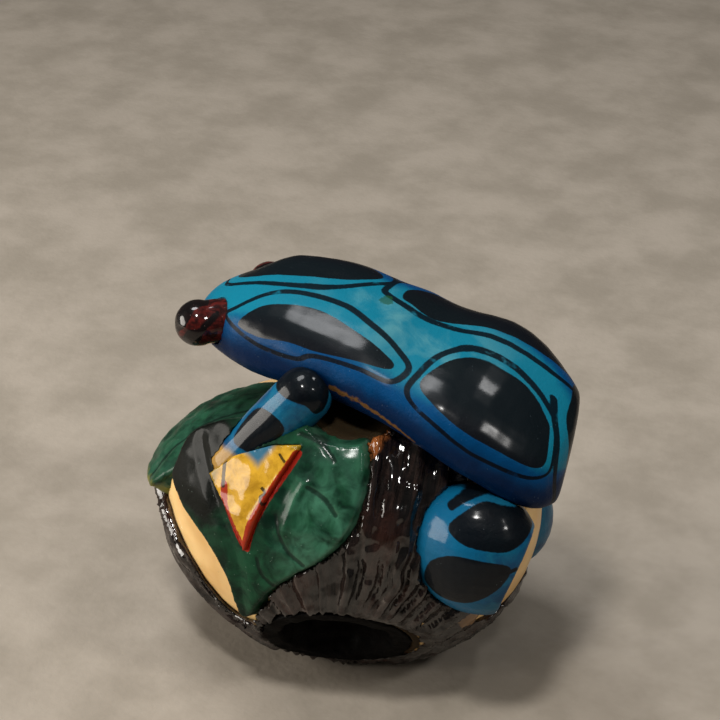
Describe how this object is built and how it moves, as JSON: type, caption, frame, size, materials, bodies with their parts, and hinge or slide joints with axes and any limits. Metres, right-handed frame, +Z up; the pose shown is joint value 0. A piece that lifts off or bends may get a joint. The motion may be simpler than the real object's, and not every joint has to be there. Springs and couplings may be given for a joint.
{
  "type": "carved nut figurine",
  "caption": "Carved and dyed palm nut figure: a poison frog over leaves and a flower, with part of the brown seed coat left on.",
  "frame": {"origin": "a point near the middle of the ground flat base, level with the table", "axes": "+X from the frog's head to its rump, +Z up, -Y towards the side that has the front leaf and the flower"},
  "size_m": [0.0517, 0.0417, 0.0467],
  "materials": {
    "bare_nut": "varnished",
    "seed_coat": "varnished",
    "dry_tissue": "matte",
    "green_dye": "varnished",
    "far_green_dye": "varnished",
    "yellow_dye": "varnished",
    "blue_dye": "varnished",
    "leg_blue_dye": "varnished",
    "red_dye": "varnished"
  },
  "bodies": {
    "root": {"nut_kernel": "bare_nut", "nut_husk": "seed_coat", "hilum_scar": "dry_tissue", "front_leaf": "green_dye", "back_leaf": "far_green_dye", "flower": "yellow_dye", "frog_body": "blue_dye", "left_eye": "red_dye", "right_eye": "red_dye", "left_foreleg": "leg_blue_dye", "right_foreleg": "leg_blue_dye", "left_hind_leg": "leg_blue_dye", "right_hind_leg": "leg_blue_dye"}
  },
  "joints": []
}
